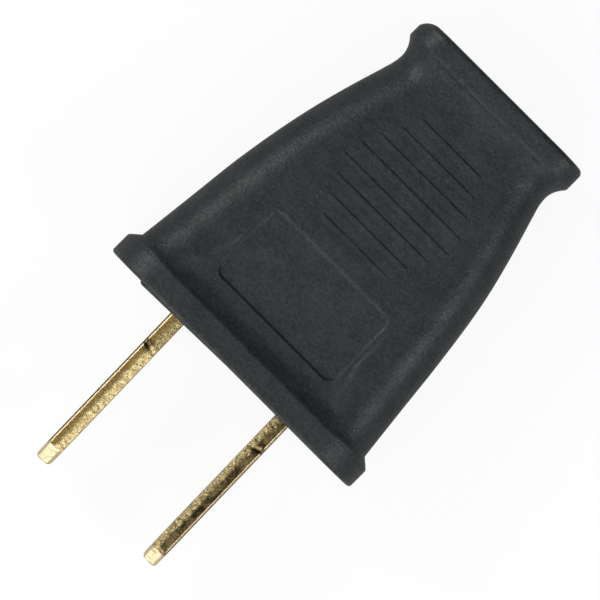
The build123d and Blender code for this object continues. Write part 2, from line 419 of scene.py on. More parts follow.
# %% Rings of the cord hole and the cavity
flare = []
for turn in rim_turns:
    grow = CORD_HOLE_FLARE * (1 - math.sin(turn))
    y = COVER_LENGTH - CORD_HOLE_FLARE * (1 - math.cos(turn))
    flare.append(inner_ring(y, np.add(CORD_HOLE_HALF, grow), CORD_HOLE_CORNER + grow))
rings += between(rear_rim, flare[0], 5) + flare
hole_front = inner_ring(CAVITY_LENGTH, CORD_HOLE_HALF, CORD_HOLE_CORNER)
cavity_rear = inner_ring(CAVITY_LENGTH, CAVITY_REAR_HALF, CORE_CORNER)
mouth_rear = inner_ring(MOUTH_LENGTH, MOUTH_HALF, CORE_CORNER)
mouth_front = inner_ring(MOUTH_LIP_Y[1], MOUTH_HALF, CORE_CORNER)
mouth_rim = inner_ring(MOUTH_LIP_Y[0], np.add(MOUTH_HALF, MOUTH_LIP), CORE_CORNER + MOUTH_LIP)
rings += between(flare[-1], hole_front, 6) + [hole_front]
rings += between(hole_front, cavity_rear, 2) + [cavity_rear]
rings += between(cavity_rear, mouth_rear, 9) + [mouth_rear]
rings += between(mouth_rear, mouth_front, 2) + [mouth_front]
rings += [mouth_rim] + between(mouth_rim, front_rim, 6)
print("rings in all:", len(rings))


# %% Helpers that make meshes and objects
def add_object(name, data):
    made = bpy.data.objects.new(name, data)
    scene.collection.objects.link(made)
    return made


def mesh_object(name, points, faces):
    mesh = bpy.data.meshes.new(name)
    mesh.from_pydata([tuple(p) for p in np.asarray(points) * MM], [], faces)
    mesh.update()
    return add_object(name, mesh)


def face_outwards(piece):
    shape = bmesh.new()
    shape.from_mesh(piece.data)
    if shape.calc_volume(signed=True) < 0:
        bmesh.ops.reverse_faces(shape, faces=shape.faces)
    shape.to_mesh(piece.data)
    shape.free()


def size_of(piece):
    triangles = sum(len(face.vertices) - 2 for face in piece.data.polygons)
    return f"{piece.name}: {len(piece.data.vertices)} points, {triangles} triangles"


# %% Join the rings into the cover's skin
grid = np.array(rings)
row_count, ring_count = grid.shape[:2]
skin_faces = []
for row in range(row_count):
    first, second = row * ring_count, (row + 1) % row_count * ring_count
    for place in range(ring_count):
        beside = (place + 1) % ring_count
        skin_faces.append((first + place, first + beside, second + beside, second + place))
cover_skin = mesh_object("cover_skin", grid.reshape(-1, 3), skin_faces)
face_outwards(cover_skin)
cover_skin.data.shade_smooth()
print(size_of(cover_skin))

# %% [markdown]
# ## Where the cover wears
# Edges that stand out are rubbed first. The mesh can tell where these are: at a point on an outer edge
# the neighbours lie below the point's own tangent plane. That measure is kept on the mesh as an
# attribute, which the finish reads later.


# %% Mark the edges that stand out
def standing_out(points):
    along = np.roll(points, -1, 0) - np.roll(points, 1, 0)
    around = np.roll(points, -1, 1) - np.roll(points, 1, 1)
    normal = np.cross(around, along)
    normal /= np.maximum(np.linalg.norm(normal, axis=2, keepdims=True), 1e-9)
    total = np.zeros(points.shape[:2])
    for axis, step in ((0, -3), (0, 3), (1, -3), (1, 3)):
        away = points - np.roll(points, step, axis)
        distance = np.maximum(np.linalg.norm(away, axis=2), 0.05)
        total += np.sum(away * normal, axis=2) / distance
    for axis in (0, 1):
        total = (np.roll(total, 1, axis) + 2 * total + np.roll(total, -1, axis)) / 4
    return total


edge_share = standing_out(grid)
if np.mean(edge_share[2:5]) < 0:
    edge_share = -edge_share
attribute = cover_skin.data.attributes.new("edge", "FLOAT", "POINT")
attribute.data.foreach_set("value", np.clip(edge_share, 0, 1).astype(np.float32).ravel())
print("edge share, highest:", round(float(edge_share.max()), 2))

# %% [markdown]
# ## The grip bars
# Eight low bars give the fingers a hold for pulling the plug out of an outlet. They repeat, so
# Geometry Nodes make them: one small block is instanced on a line of points, the instances are
# realized, and then every point is put where its own bar needs it. The field of bars is barrel shaped,
# so a bar's half width comes from where it lies. A curve of straight runs gives the section of a bar:
# low in front and highest near its steep rear edge, which with the sunk gap behind it makes the dark
# line of the photograph.


# %% Helpers that add nodes
def add_node(tree, kind, inputs=None, **settings):
    made = tree.nodes.new(kind)
    for name, value in settings.items():
        setattr(made, name, value)
    for name, value in (inputs or {}).items():
        if isinstance(value, bpy.types.NodeSocket):
            tree.links.new(value, made.inputs[name])
        else:
            made.inputs[name].default_value = value
    return made


def math_node(tree, operation, first, second=0.0):
    return add_node(tree, "ShaderNodeMath", {0: first, 1: second}, operation=operation).outputs[0]


def plus(tree, first, second):
    return math_node(tree, "ADD", first, second)


def minus(tree, first, second):
    return math_node(tree, "SUBTRACT", first, second)


def times(tree, first, second):
    return math_node(tree, "MULTIPLY", first, second)


def ranged(tree, value, low, high, at_low=0.0, at_high=1.0):
    return add_node(tree, "ShaderNodeMapRange", {
        "Value": value, "From Min": low, "From Max": high, "To Min": at_low, "To Max": at_high,
    }).outputs[0]



# %% Start the tree of the bars: a block on every point of a line
def keep_place(geometry, name):
    place = add_node(bars, "GeometryNodeInputPosition").outputs[0]
    return add_node(bars, "GeometryNodeStoreNamedAttribute", {
        "Geometry": geometry, "Name": name, "Value": place,
    }, data_type="FLOAT_VECTOR", domain="POINT").outputs[0]


bars = bpy.data.node_groups.new("grip bars", "GeometryNodeTree")
bars.interface.new_socket("Geometry", in_out="OUTPUT", socket_type="NodeSocketGeometry")
bar_kinds = {name: "Int" if isinstance(value, int) else "Float" for name, value in BARS.items()}
bar_inputs = {}
for name, kind in (bar_kinds | {"Finish": "Material"}).items():
    socket = bars.interface.new_socket(name, in_out="INPUT", socket_type="NodeSocket" + kind)
    bar_inputs[name] = socket.identifier
given = bars.nodes.new("NodeGroupInput").outputs

step = add_node(bars, "ShaderNodeCombineXYZ", {"Y": given["Bar Pitch"]}).outputs[0]
start = add_node(bars, "ShaderNodeCombineXYZ", {"Y": given["First Bar At"]}).outputs[0]
line = add_node(bars, "GeometryNodeMeshLine", {
    "Count": given["Bar Count"], "Start Location": start, "Offset": step,
})
block = add_node(bars, "GeometryNodeMeshCube", {"Vertices X": 49, "Vertices Y": 15, "Vertices Z": 3})
placed = add_node(bars, "GeometryNodeInstanceOnPoints", {
    "Points": keep_place(line.outputs[0], "bar_place"),
    "Instance": keep_place(block.outputs[0], "block_place"),
})
blocks = add_node(bars, "GeometryNodeRealizeInstances", {"Geometry": placed.outputs[0]}).outputs[0]


# %% Where each point of a bar lies along and across the plug
def named_vector(name):
    read = add_node(bars, "GeometryNodeInputNamedAttribute", {"Name": name}, data_type="FLOAT_VECTOR")
    return add_node(bars, "ShaderNodeSeparateXYZ", {0: read.outputs[0]}).outputs


unit = named_vector("block_place")
along = plus(bars, unit["Y"], 0.5)
bar_y = plus(bars, named_vector("bar_place")["Y"], times(bars, along, given["Bar Length"]))
widening = ranged(bars, bar_y, given["First Bar At"], given["Widest From"],
                  given["End Half Width"], given["Middle Half Width"])
narrowing = ranged(bars, bar_y, given["Widest To"], given["Last Bar Ends At"],
                   given["Middle Half Width"], given["End Half Width"])
half_bar = math_node(bars, "MINIMUM", widening, narrowing)
outward = times(bars, math_node(bars, "ABSOLUTE", unit["X"]), 2.0)
from_middle = times(bars, math_node(bars, "POWER", outward, 0.35), half_bar)
bar_x = times(bars, from_middle, math_node(bars, "SIGN", unit["X"]))

# %% The bar's section, and its height over the tapering face
section = add_node(bars, "ShaderNodeFloatCurve", {"Value": along})
section_points = section.mapping.curves[0].points
for spot, height in ((0.3, 0.45), (0.8, 1.0), (0.9, 0.7)):
    section_points.new(spot, height)
section_points[-1].location = (1.0, 0.0)
for point in section_points:
    point.handle_type = "VECTOR"
section.mapping.update()
end_share = ranged(bars, minus(bars, half_bar, from_middle), 0.0, BAR_END_SLOPE)
crest = times(bars, times(bars, section.outputs[0], end_share), given["Bar Height"])
fall = times(bars, given["Face Slope"], minus(bars, bar_y, given["Face From"]))
base = minus(bars, given["Face Height"], fall)
upward = times(bars, plus(bars, unit["Z"], 0.5), plus(bars, crest, BAR_ROOT))
bar_z = plus(bars, base, minus(bars, upward, BAR_ROOT))
target = add_node(bars, "ShaderNodeCombineXYZ", {"X": bar_x, "Y": bar_y, "Z": bar_z}).outputs[0]

# %% Move the points, copy the field to the lower face, and end the tree
moved = add_node(bars, "GeometryNodeSetPosition", {"Geometry": blocks, "Position": target}).outputs[0]
turned = add_node(bars, "GeometryNodeTransform", {
    "Geometry": moved, "Rotation": (0.0, math.pi, 0.0),
}).outputs[0]
both = add_node(bars, "GeometryNodeJoinGeometry")
bars.links.new(moved, both.inputs[0])
bars.links.new(turned, both.inputs[0])
in_metres = add_node(bars, "GeometryNodeTransform", {
    "Geometry": both.outputs[0], "Scale": (MM, MM, MM),
}).outputs[0]
whole = add_node(bars, "GeometryNodeRealizeInstances", {"Geometry": in_metres}).outputs[0]
finished = add_node(bars, "GeometryNodeSetMaterial", {
    "Geometry": whole, "Material": given["Finish"],
}).outputs[0]
bars.links.new(finished, bars.nodes.new("NodeGroupOutput").inputs[0])
print("nodes in the tree of the bars:", len(bars.nodes))

# %% [markdown]
# ## Shared effects for the finishes
# Four effects are node groups of their own, so that any material can use them: the grain left by a
# mould, specks of dust, wear along edges, and fine drawn scratches. A group puts out only heights and
# masks. The materials decide what these do to colour and gloss.


# %% Helpers for shader groups
def start_group(name, amounts, outputs):
    tree = bpy.data.node_groups.new(name, "ShaderNodeTree")
    tree.interface.new_socket("Place", in_out="INPUT", socket_type="NodeSocketVector")
    for title, value in amounts.items():
        socket = tree.interface.new_socket(title, in_out="INPUT", socket_type="NodeSocketFloat")
        socket.default_value = value
    for title in outputs:
        tree.interface.new_socket(title, in_out="OUTPUT", socket_type="NodeSocketFloat")
    return tree, tree.nodes.new("NodeGroupInput").outputs, tree.nodes.new("NodeGroupOutput").inputs


def noise(tree, place, scale, detail, roughness=0.5):
    return add_node(tree, "ShaderNodeTexNoise", {
        "Vector": place, "Scale": scale, "Detail": detail, "Roughness": roughness,
    }).outputs[0]


# %% Moulded grain: fine pits over a faint unevenness, in features for each millimetre
grain, given, out = start_group(
    "moulded grain", {"Fine Scale": 5.0, "Broad Scale": 0.6}, ["Height", "Mottle"])
fine = noise(grain, given["Place"], given["Fine Scale"], 3.0, 0.6)
broad = noise(grain, given["Place"], given["Broad Scale"], 4.0, 0.65)
pits = add_node(grain, "ShaderNodeTexVoronoi", {
    "Vector": given["Place"], "Scale": times(grain, given["Fine Scale"], 1.7),
}, feature="SMOOTH_F1").outputs["Distance"]
fine_share = times(grain, fine, 0.6)
grain.links.new(plus(grain, fine_share, times(grain, pits, 0.5)), out["Height"])
grain.links.new(plus(grain, fine_share, times(grain, broad, 0.4)), out["Mottle"])

# %% Dust: small specks at random places
dust, given, out = start_group("dust specks", {"Specks per mm": 1.2, "Amount": 0.2}, ["Mask"])
cells = add_node(dust, "ShaderNodeTexVoronoi", {
    "Vector": given["Place"], "Scale": given["Specks per mm"], "Randomness": 1.0,
})
chance = add_node(dust, "ShaderNodeSeparateColor", {0: cells.outputs["Color"]}).outputs
present = math_node(dust, "LESS_THAN", chance["Red"], given["Amount"])
speck_size = ranged(dust, chance["Green"], 0.0, 1.0, 0.03, 0.11)
speck = math_node(dust, "LESS_THAN", cells.outputs["Distance"], speck_size)
dust.links.new(times(dust, speck, present), out["Mask"])

# %% Wear: the edge attribute, broken up so that it comes and goes
wear, given, out = start_group("edge wear", {"Edge": 0.0, "Amount": 0.5}, ["Mask"])
patches = noise(wear, given["Place"], 1.4, 5.0, 0.7)
rubbed = times(wear, ranged(wear, given["Edge"], 0.25, 0.9), ranged(wear, patches, 0.35, 0.7))
wear.links.new(times(wear, rubbed, given["Amount"]), out["Mask"])

# %% Scratches: long thin streaks that follow one direction of the place given
scratches, given, out = start_group("drawn scratches", {"Stretch": 30.0, "Scale": 9.0}, ["Height"])
squeeze = add_node(scratches, "ShaderNodeCombineXYZ", {
    "X": given["Scale"], "Y": math_node(scratches, "DIVIDE", given["Scale"], given["Stretch"]),
    "Z": given["Scale"],
}).outputs[0]
streak_place = add_node(scratches, "ShaderNodeVectorMath", {
    0: given["Place"], 1: squeeze,
}, operation="MULTIPLY").outputs[0]
scratches.links.new(noise(scratches, streak_place, 1.0, 6.0, 0.7), out["Height"])
print("shader groups:", [tree.name for tree in (grain, dust, wear, scratches)])


# %% [markdown]
# ## Helpers for materials
# Every material starts the same way: a Principled shader, and the object's own coordinates turned into
# millimetres, so that a scale of 5 means five features in each millimetre of the real plug. It ends
# the same way too: a colour, a roughness and a height for the bump.


# %% Start and dress a material
def start_material(name, **settings):
    material = bpy.data.materials.new(name)
    material.use_nodes = True
    tree = material.node_tree
    shader = tree.nodes["Principled BSDF"]
    for title, value in settings.items():
        shader.inputs[title.replace("_", " ")].default_value = value
    own = add_node(tree, "ShaderNodeTexCoord").outputs["Object"]
    place = add_node(tree, "ShaderNodeVectorMath", {0: own, 3: 1 / MM}, operation="SCALE").outputs[0]
    return material, tree, shader, place


def use_group(tree, group, place, amounts):
    return add_node(tree, "ShaderNodeGroup", {"Place": place, **amounts}, node_tree=group).outputs


def mix_colour(tree, share, first, second):
    colours = [(*one, 1.0) if isinstance(one, tuple) else one for one in (first, second)]
    inputs = {0: share, 6: colours[0], 7: colours[1]}
    return add_node(tree, "ShaderNodeMix", inputs, data_type="RGBA").outputs[2]


def attribute_value(tree, name):
    return add_node(tree, "ShaderNodeAttribute", attribute_name=name).outputs["Fac"]


def dress(tree, shader, colour, roughness, height, distance):
    relief = {"Height": height, "Distance": distance * MM, "Strength": 1.0}
    normal = add_node(tree, "ShaderNodeBump", relief).outputs[0]
    for name, value in (("Base Color", colour), ("Roughness", roughness), ("Normal", normal)):
        tree.links.new(value, shader.inputs[name])


# %% [markdown]
# ## Charcoal vinyl
# The cover is soft vinyl, nearly black with a trace of blue and green. Its gloss is low and uneven.
# The grain comes mostly from bump, and the colour varies a little with it. Handled edges are paler,
# and a few specks of dust cling to it.

# %% The cover's finish
vinyl, tree, shader, place = start_material("charcoal_vinyl", Specular_IOR_Level=0.35)
grain_out = use_group(tree, grain, place, {"Fine Scale": 3.2, "Broad Scale": 0.45})
dust_mask = use_group(tree, dust, place, {"Specks per mm": 1.7, "Amount": 0.22})["Mask"]
edge = attribute_value(tree, "edge")
wear_mask = use_group(tree, wear, place, {"Edge": edge, "Amount": 0.35})["Mask"]
mottle = ranged(tree, grain_out["Mottle"], 0.38, 0.62)
colour = mix_colour(tree, mottle, (0.0095, 0.0135, 0.0142), (0.0288, 0.0345, 0.0354))
colour = mix_colour(tree, wear_mask, colour, (0.07, 0.08, 0.078))
colour = mix_colour(tree, times(tree, dust_mask, 0.5), colour, (0.16, 0.17, 0.16))
roughness = ranged(tree, grain_out["Mottle"], 0.3, 0.7, 0.54, 0.4)
dress(tree, shader, colour, roughness, grain_out["Height"], 0.045)
cover_skin.data.materials.append(vinyl)

# %% Run the tree of the bars and keep its result as a plain mesh
bars_source = mesh_object("bars_source", [(0, 0, 0)], [])
modifier = bars_source.modifiers.new("grip bars", "NODES")
modifier.node_group = bars
for name, value in (BARS | {"Finish": vinyl}).items():
    modifier[bar_inputs[name]] = value
worked_out = bpy.context.evaluated_depsgraph_get()
bar_mesh = bpy.data.meshes.new_from_object(bars_source.evaluated_get(worked_out), depsgraph=worked_out)
bars_source.modifiers.remove(modifier)
bpy.data.objects.remove(bars_source)
bar_mesh.name = "cover_grip_bars"
cover_grip_bars = add_object("cover_grip_bars", bar_mesh)
face_outwards(cover_grip_bars)
bar_mesh.shade_smooth()
print(size_of(cover_grip_bars))

# %% [markdown]
# ## The core
# The core is hard black nylon, and only its front plate shows until it is pulled out. Its shape in the
# CAD is right, but many small edges there are knife sharp, and a moulding's never are. So a copy is
# cleaned up and gets a small bevel all round, and the copy stands for the CAD node.


# %% Copy a CAD node as a clean mesh
def clean_copy(node, name):
    shape = bmesh.new()
    shape.from_mesh(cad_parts[node].data)
    bmesh.ops.remove_doubles(shape, verts=shape.verts, dist=1e-6)
    bmesh.ops.dissolve_limit(shape, angle_limit=math.radians(1.0), verts=shape.verts, edges=shape.edges)
    mesh = bpy.data.meshes.new(name)
    shape.to_mesh(mesh)
    shape.free()
    return add_object(name, mesh)


core_moulding = clean_copy("core", "core_moulding")
core_bevel = core_moulding.modifiers.new("soft edges", "BEVEL")
core_bevel.width = 0.12 * MM
core_bevel.segments = 2
core_bevel.limit_method = "ANGLE"
core_bevel.angle_limit = math.radians(32)
core_bevel.use_clamp_overlap = True
print(size_of(core_moulding))

# %% The core's finish: hard black nylon, with a faint grain and rubbed arms
nylon, tree, shader, place = start_material("black_nylon", Specular_IOR_Level=0.35)
grain_out = use_group(tree, grain, place, {"Fine Scale": 7.0, "Broad Scale": 0.8})
scratch = use_group(tree, scratches, place, {"Stretch": 22.0, "Scale": 4.0})["Height"]
rubbed = ranged(tree, scratch, 0.6, 0.75)
mottle = ranged(tree, grain_out["Mottle"], 0.35, 0.65)
colour = mix_colour(tree, mottle, (0.016, 0.017, 0.018), (0.027, 0.028, 0.029))
colour = mix_colour(tree, times(tree, rubbed, 0.35), colour, (0.08, 0.082, 0.084))
roughness = ranged(tree, grain_out["Mottle"], 0.3, 0.7, 0.52, 0.4)
dress(tree, shader, colour, roughness, grain_out["Height"], 0.01)
core_moulding.data.materials.append(nylon)

# %% [markdown]
# ## The blades
# The photograph looks at the blades on their narrow edges, where a stamped strip tells how it was made.
# The outer side was drawn down into a small rounding as the punch entered, then comes a burnished band,
# and the rest broke off rough. So each blade is its outline swept round with that section, and the
# rough band is rough in the mesh itself. The part inside the core is a copy of the CAD's.

# %% Sizes of a blade, in millimetres, and the angle at which the core sits askew
BLADE_PITCH = 12.7
BLADE_THICKNESS = 1.5
BLADE_HALF_WIDTH = 3.175
BLADE_REACH = 17.0
BLADE_TIP_CHAMFER = 1.6
BLADE_HOLE_AT = -11.9
BLADE_HOLE_RADIUS = 1.6
BLADE_HOLE_LIP = 0.1
BLADE_HOLE_STEPS = 72
BLADE_JOIN_AT = 1.2
ROLLOVER = 0.34
FRACTURE_AT = 0.74
NICK_AT = -3.5
NICK_HALF_WIDTH = 0.24
NICK_LEAN = 0.35
NICK_DEPTH = 0.2
CORE_SKEW = math.radians(1.3)


# %% Walk round the blade's outline
def rounded_walk(corners, radius, step):
    path = []
    count = len(corners)
    for index in range(count):
        corner = np.array(corners[index], float)
        before = np.array(corners[index - 1], float) - corner
        after = np.array(corners[(index + 1) % count], float) - corner
        before /= np.linalg.norm(before)
        after /= np.linalg.norm(after)
        for share in np.linspace(0, 1, 6):
            path.append(corner + radius * (before * (1 - share) ** 2 + after * share ** 2))
    walked = []
    for index, point in enumerate(path):
        ahead = path[(index + 1) % len(path)]
        length = np.linalg.norm(ahead - point)
        pieces = max(1, round(length / step))
        walked += [point + (ahead - point) * share / pieces for share in range(pieces)]
    return np.array(walked)


def outward_normals(walk):
    along = np.roll(walk, -1, 0) - np.roll(walk, 1, 0)
    normal = np.stack([along[:, 1], -along[:, 0]], axis=1)
    normal /= np.linalg.norm(normal, axis=1, keepdims=True)
    middle = walk.mean(axis=0)
    if np.mean(np.sum((walk - middle) * normal, axis=1)) < 0:
        normal = -normal
    return normal


tip, half, cut = -BLADE_REACH, BLADE_HALF_WIDTH, BLADE_TIP_CHAMFER
blade_walk = rounded_walk([
    (BLADE_JOIN_AT, half), (tip + cut, half), (tip, half - cut),
    (tip, cut - half), (tip + cut, -half), (BLADE_JOIN_AT, -half),
], radius=0.12, step=0.11)
blade_normals = outward_normals(blade_walk)
print("steps round a blade:", len(blade_walk))


# %% The section across a blade's edge: how far in from the outline, from the inner face outwards
def blade_section():
    level = np.linspace(0.09, BLADE_THICKNESS - ROLLOVER, 13)
    turns = np.radians([18, 36, 54, 72, 90])
    rounded = BLADE_THICKNESS - ROLLOVER * (1 - np.sin(turns))
    places = np.concatenate([[0.0, 0.03], level, rounded])
    insets = np.concatenate([[0.05, 0.0], 0 * level, ROLLOVER * (1 - np.cos(turns))])
    return places, insets


def broken_band(steps, across, seed):
    coarse = np.random.default_rng(seed).normal(0, 1, (steps, len(across)))
    for axis in (0, 1):
        coarse = (np.roll(coarse, 1, axis) + 2 * coarse + np.roll(coarse, -1, axis)) / 4
    band = ease((FRACTURE_AT - across) / 0.12) * ease((across + 0.05) / 0.08)
    return (0.05 * coarse + 0.035) * band


# %% Sweep the section round the outline
def blade_rim(seed):
    places, insets = blade_section()
    rough = broken_band(len(blade_walk), places, seed)
    tip_share = ease((tip + cut + 0.3 - blade_walk[:, 0]) / 0.5)
    inner_round = np.clip(1 - places / 0.3, 0, 1) ** 2 * 0.3
    in_by = insets + np.clip(rough, 0, None) + tip_share[:, None] * inner_round
    from_nick = blade_walk[:, None, 0] - NICK_AT - NICK_LEAN * (places - 0.6) - 1.5 * rough
    on_upper_edge = blade_walk[:, None, 1] > half - 0.1
    nick = np.clip(1 - np.abs(from_nick) / NICK_HALF_WIDTH, 0, 1) * on_upper_edge
    in_by += NICK_DEPTH * nick * (0.3 + 0.7 * places / BLADE_THICKNESS)
    flat = blade_walk[:, None, :] - blade_normals[:, None, :] * in_by[:, :, None]
    x = np.broadcast_to(places, flat.shape[:2])
    return np.stack([x, flat[:, :, 0], flat[:, :, 1]], axis=2), places


def blade_front(seed, side):
    rim, places = blade_rim(seed)
    steps, across_count = rim.shape[:2]
    shape = bmesh.new()
    across_layer = shape.verts.layers.float.new("across")
    verts = []
    for point, across in zip(rim.reshape(-1, 3), np.tile(places, steps)):
        vert = shape.verts.new(point)
        vert[across_layer] = across
        verts.append(vert)
    for index in range(steps):
        here, after = index * across_count, (index + 1) % steps * across_count
        for place in range(across_count - 1):
            corners = (here + place, here + place + 1, after + place + 1, after + place)
            shape.faces.new([verts[corner] for corner in corners])
    close_faces(shape, verts[::across_count], verts[across_count - 1::across_count], across_layer)
    for vert in shape.verts:
        vert.co.x += BLADE_PITCH / 2 - BLADE_THICKNESS / 2
        vert.co.x *= side
        vert.co *= MM
    return shape


# %% Close the two broad faces round the catch hole
def hole_loop(shape, across, radius, across_layer):
    made = []
    for turn in np.linspace(0, 2 * math.pi, BLADE_HOLE_STEPS, endpoint=False):
        y, z = BLADE_HOLE_AT + radius * math.cos(turn), radius * math.sin(turn)
        vert = shape.verts.new((across, y, z))
        vert[across_layer] = across
        made.append(vert)
    return made


def loop_edges(shape, loop):
    found = []
    for index, vert in enumerate(loop):
        ahead = loop[(index + 1) % len(loop)]
        found.append(shape.edges.get((vert, ahead)) or shape.edges.new((vert, ahead)))
    return found


def close_faces(shape, inner_loop, outer_loop, across_layer):
    lip, wide = BLADE_HOLE_LIP, BLADE_HOLE_RADIUS + BLADE_HOLE_LIP
    holes = [hole_loop(shape, across, radius, across_layer) for across, radius in (
        (0.0, wide), (lip, BLADE_HOLE_RADIUS),
        (BLADE_THICKNESS - lip, BLADE_HOLE_RADIUS), (BLADE_THICKNESS, wide),
    )]
    for first, second in zip(holes, holes[1:]):
        for index in range(BLADE_HOLE_STEPS):
            after = (index + 1) % BLADE_HOLE_STEPS
            shape.faces.new([first[index], first[after], second[after], second[index]])
    for loop, hole in ((inner_loop, holes[0]), (outer_loop, holes[-1])):
        edges = loop_edges(shape, loop) + loop_edges(shape, hole)
        filled = bmesh.ops.triangle_fill(shape, use_beauty=True, edges=edges)
        for face in filled["geom"]:
            if isinstance(face, bmesh.types.BMFace):
                face.material_index = 1


# %% Join each blade's front to the CAD's tang and foot
def turn_about_z(angle):
    return mathutils.Matrix.Rotation(angle, 3, "Z")


def make_blade(name, node, seed, side):
    shape = blade_front(seed, side)
    bmesh.ops.rotate(shape, verts=shape.verts, matrix=turn_about_z(CORE_SKEW))
    bmesh.ops.recalc_face_normals(shape, faces=shape.faces)
    rear = bmesh.new()
    rear.from_mesh(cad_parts[node].data)
    bmesh.ops.remove_doubles(rear, verts=rear.verts, dist=1e-6)
    behind = turn_about_z(CORE_SKEW) @ mathutils.Vector((0, 1, 0))
    everything = rear.verts[:] + rear.edges[:] + rear.faces[:]
    cut = bmesh.ops.bisect_plane(rear, geom=everything, plane_co=behind * BLADE_JOIN_AT * MM,
                                 plane_no=behind, clear_inner=True)
    open_edges = [edge for edge in cut["geom_cut"] if isinstance(edge, bmesh.types.BMEdge)]
    bmesh.ops.contextual_create(rear, geom=open_edges)
    for face in rear.faces:
        face.material_index = 1
    rear_mesh = bpy.data.meshes.new(name + "_rear")
    rear.to_mesh(rear_mesh)
    rear.free()
    shape.from_mesh(rear_mesh)
    mesh = bpy.data.meshes.new(name)
    shape.to_mesh(mesh)
    shape.free()
    bpy.data.meshes.remove(rear_mesh)
    mesh.shade_smooth()
    mesh.set_sharp_from_angle(angle=math.radians(38))
    made = add_object(name, mesh)
    print(size_of(made))
    return made


brass_blade_left = make_blade("brass_blade_left", "blade_left", 3, -1)
brass_blade_right = make_blade("brass_blade_right", "blade_right", 5, 1)

# %% [markdown]
# ## Brass
# Two finishes share one blade. The broad faces are rolled strip: smooth, with long fine scratches. The
# edges follow the section: a rough, paler band where the metal broke, a burnished band whose brass is
# darkened as painted shade for the dark reflection it shows, and a dull rounding that ends in a dark
# line of painted shade. On the right blade both bands are painted darker still, as painted shade. The
# mesh keeps how far across the edge each point lies, so the bands need no guessing.

# %% The rolled faces
rolled, tree, shader, place = start_material("rolled_brass", Metallic=1.0)
scratch = use_group(tree, scratches, place, {"Stretch": 40.0, "Scale": 10.0})["Height"]
grain_out = use_group(tree, grain, place, {"Fine Scale": 3.0, "Broad Scale": 0.4})
mottle = ranged(tree, grain_out["Mottle"], 0.35, 0.65)
colour = mix_colour(tree, mottle, (0.62, 0.43, 0.15), (0.82, 0.60, 0.25))
roughness = ranged(tree, grain_out["Mottle"], 0.3, 0.7, 0.2, 0.36)
dress(tree, shader, colour, roughness, scratch, 0.02)

# %% The sheared edges: where the bands lie
sheared, tree, shader, place = start_material("sheared_brass", Metallic=1.0)
across = attribute_value(tree, "across")
where = add_node(tree, "ShaderNodeSeparateXYZ", {0: place}).outputs
on_right = ranged(tree, where["X"], -1.0, 1.0)
crumbs = noise(tree, place, 5.0, 4.0, 0.65)
drift = noise(tree, place, 1.1, 3.0)
slow = times(tree, minus(tree, drift, 0.5), 0.5)
quick = times(tree, minus(tree, crumbs, 0.5), 0.35)
wander = plus(tree, slow, quick)
shifted = plus(tree, plus(tree, across, wander), times(tree, on_right, 0.2))
broken = ranged(tree, shifted, FRACTURE_AT + 0.12, FRACTURE_AT - 0.12)
tip_facet = ranged(tree, where["Y"], tip + BLADE_TIP_CHAMFER, tip + BLADE_TIP_CHAMFER - 0.15)
behind_nick = ranged(tree, where["Y"], NICK_AT - 0.1, NICK_AT + 0.3)

# %% The sheared edges: colours, painted shade and relief
blotch = ranged(tree, crumbs, 0.38, 0.62)
# Painted shade: the burnished band's brass is darkened to stand for the dark reflection it shows.
smooth_left_painted_shade = mix_colour(tree, blotch, (0.33, 0.21, 0.073), (0.62, 0.435, 0.165))
patch = ranged(tree, plus(tree, times(tree, drift, 0.6), times(tree, crumbs, 0.4)), 0.42, 0.58)
# On the right blade the burnished band is painted darker still, as painted shade.
smooth_right_painted_shade = mix_colour(tree, patch, (0.055, 0.038, 0.02), (0.36, 0.265, 0.12))
rough_left = mix_colour(tree, blotch, (0.64, 0.475, 0.2), (1.0, 0.83, 0.46))
duller = mix_colour(tree, blotch, (0.33, 0.255, 0.115), (0.62, 0.5, 0.25))
rough_left = mix_colour(tree, behind_nick, rough_left, duller)
# Painted shade: the right blade's broken band is darker than the left's.
rough_right_painted_shade = mix_colour(tree, blotch, (0.27, 0.21, 0.095), (0.70, 0.57, 0.29))
smooth_painted_shade_colour = mix_colour(tree, on_right, smooth_left_painted_shade, smooth_right_painted_shade)
rough_colour_with_painted_shade = mix_colour(tree, on_right, rough_left, rough_right_painted_shade)
edge_colour = mix_colour(tree, broken, smooth_painted_shade_colour, rough_colour_with_painted_shade)
from_nick = plus(tree, math_node(tree, "ABSOLUTE", minus(tree, where["Y"], NICK_AT)), wander)
# Darker round the nick, on the outer part of the edge.
dark_round_nick = times(tree, ranged(tree, from_nick, 0.7, 0.2), ranged(tree, across, 0.45, 0.8))
edge_colour = mix_colour(tree, times(tree, dark_round_nick, 0.85), edge_colour, (0.05, 0.035, 0.018))
rounding = ranged(tree, across, BLADE_THICKNESS - 0.3, BLADE_THICKNESS - 0.16)
edge_colour = mix_colour(tree, rounding, edge_colour, (0.40, 0.32, 0.19))
# Painted shade: a thin dark line along the outer edge, where the rounding turns away, weaker on the
# right blade.
outermost_painted_shade = ranged(tree, across, BLADE_THICKNESS - 0.14, BLADE_THICKNESS - 0.08)
outermost_painted_shade = times(tree, outermost_painted_shade, minus(tree, 0.9, times(tree, on_right, 0.7)))
edge_colour = mix_colour(tree, outermost_painted_shade, edge_colour, (0.09, 0.06, 0.03))
edge_colour = mix_colour(tree, tip_facet, edge_colour, (0.9, 0.76, 0.46))
roughness = plus(tree, ranged(tree, broken, 0.0, 1.0, 0.26, 0.42), times(tree, rounding, 0.12))
streak = use_group(tree, scratches, place, {"Stretch": 8.0, "Scale": 7.0})["Height"]
height = plus(tree, times(tree, crumbs, broken), times(tree, streak, 0.3))
height = times(tree, height, minus(tree, 1.0, times(tree, tip_facet, 0.8)))
dress(tree, shader, edge_colour, roughness, height, 0.06)
for blade in (brass_blade_left, brass_blade_right):
    for finish in (sheared, rolled):
        blade.data.materials.append(finish)
